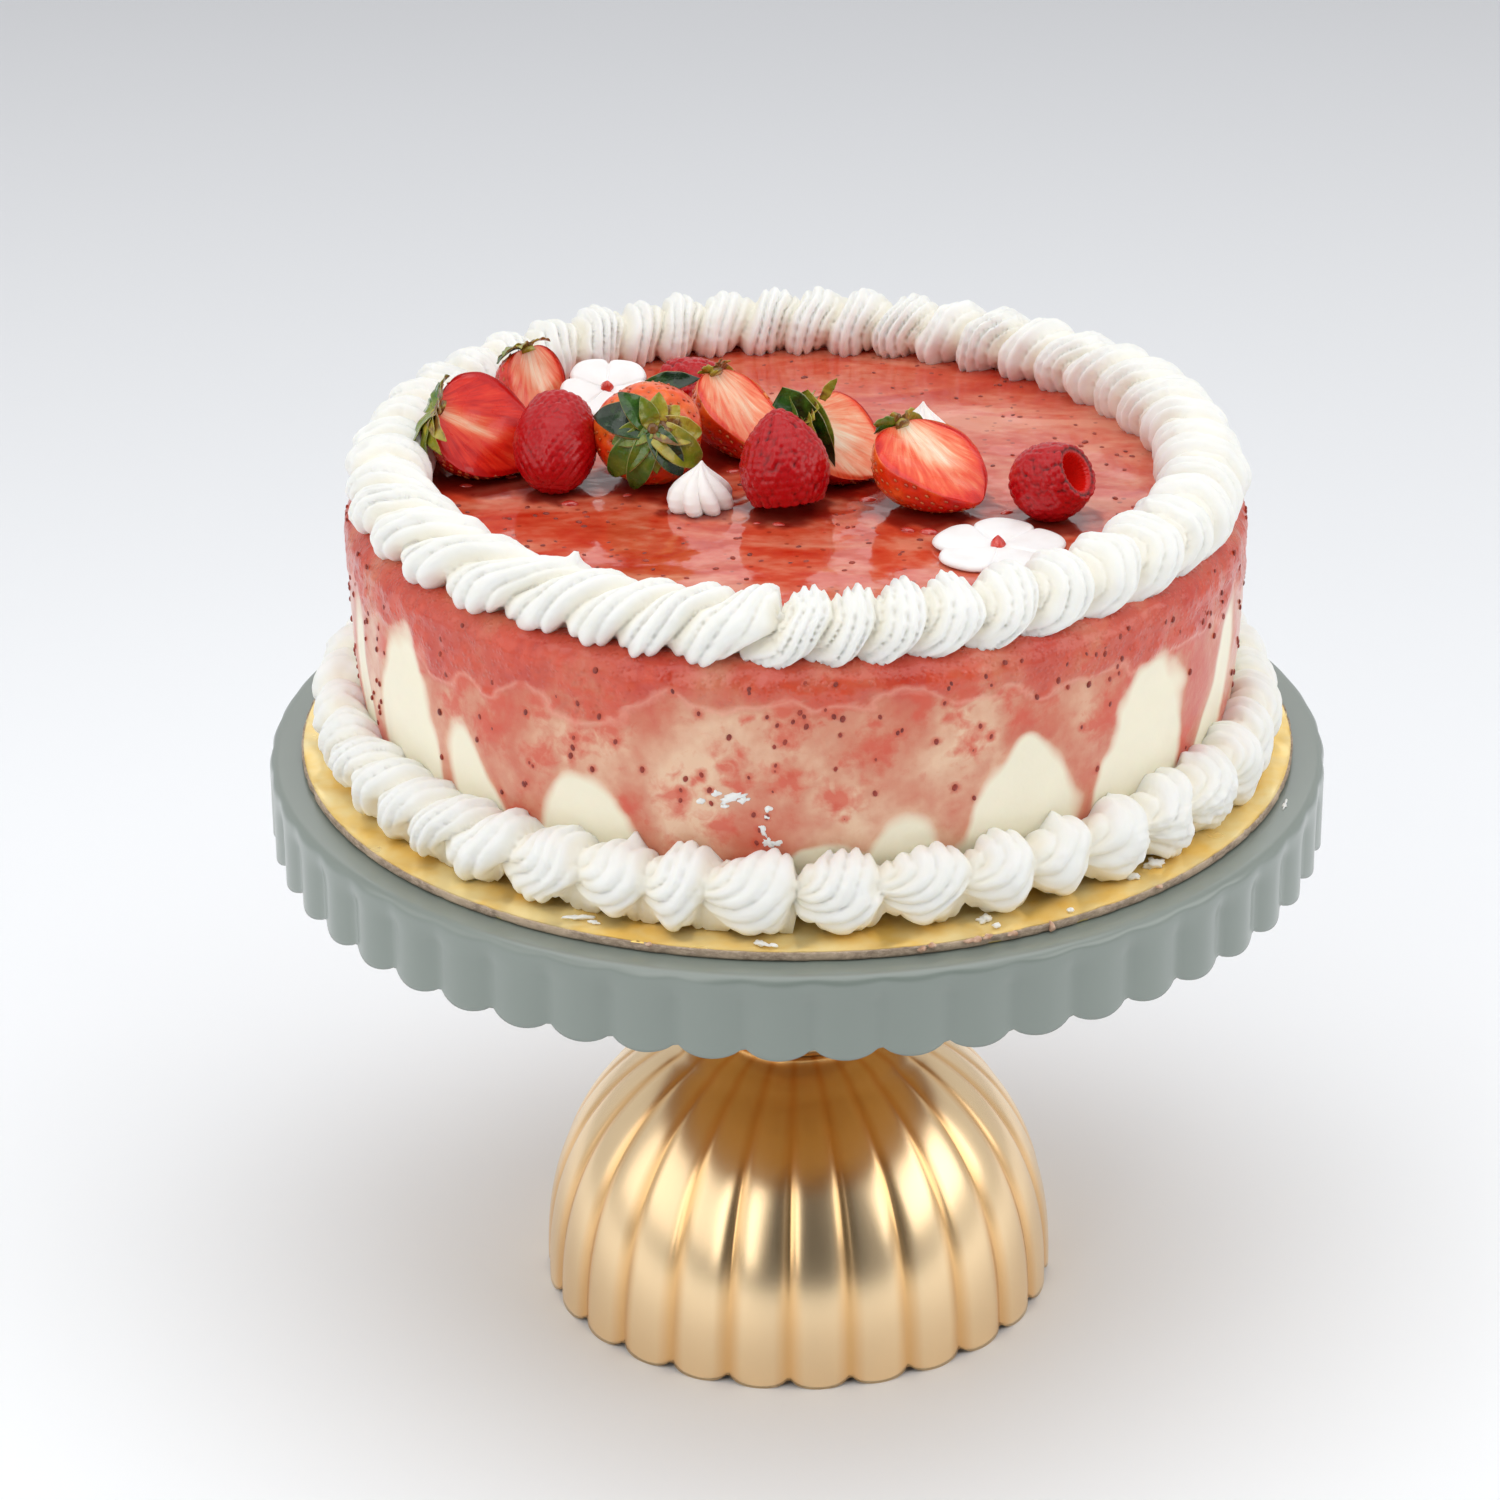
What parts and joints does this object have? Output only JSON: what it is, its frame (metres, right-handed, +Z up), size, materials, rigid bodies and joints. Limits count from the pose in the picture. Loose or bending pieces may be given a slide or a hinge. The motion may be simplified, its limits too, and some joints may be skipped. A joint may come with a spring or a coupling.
{
  "type": "strawberry cake on cake stand",
  "caption": "Round glazed strawberry cake with piped cream borders, halved strawberries and berries, on a gold board and a pedestal stand with scalloped plate and fluted domed foot.",
  "frame": {"origin": "middle of the foot, on the table, under the middle of the cake", "axes": "+Z up along the stand's column, -Y towards the front, where the fruit and the border's join face the viewer"},
  "size_m": [0.3256, 0.3256, 0.3008],
  "materials": {
    "champagne_metal": "pale champagne gold plating, satin to bright",
    "sage_paint": "satin grey-green paint",
    "gold_foil": "bright gold foil over grey-brown card",
    "glaze": "glossy strawberry glaze with seeds over cream frosting",
    "cream": "soft piped whipped cream",
    "strawberry": "wet glazed fruit",
    "red_berry": "wet small drupelets",
    "meringue": "dry matt meringue",
    "leaf": "wet glossy leaf",
    "sugar_paste": "smooth sugar paste"
  },
  "bodies": {
    "root": {"foot": "champagne_metal", "neck": "champagne_metal", "plate": "sage_paint", "board": "gold_foil", "cake": "glaze", "border_bottom": "cream", "border_top": "cream", "strawberry_left": "strawberry", "strawberry_back": "strawberry", "strawberry_leafy": "strawberry", "strawberry_middle": "strawberry", "strawberry_fan": "strawberry", "strawberry_right": "strawberry", "berry_left": "red_berry", "berry_back": "red_berry", "berry_front": "red_berry", "berry_open": "red_berry", "meringue_front": "meringue", "meringue_back": "meringue", "flower_front": "sugar_paste", "flower_back": "sugar_paste"}
  },
  "joints": []
}
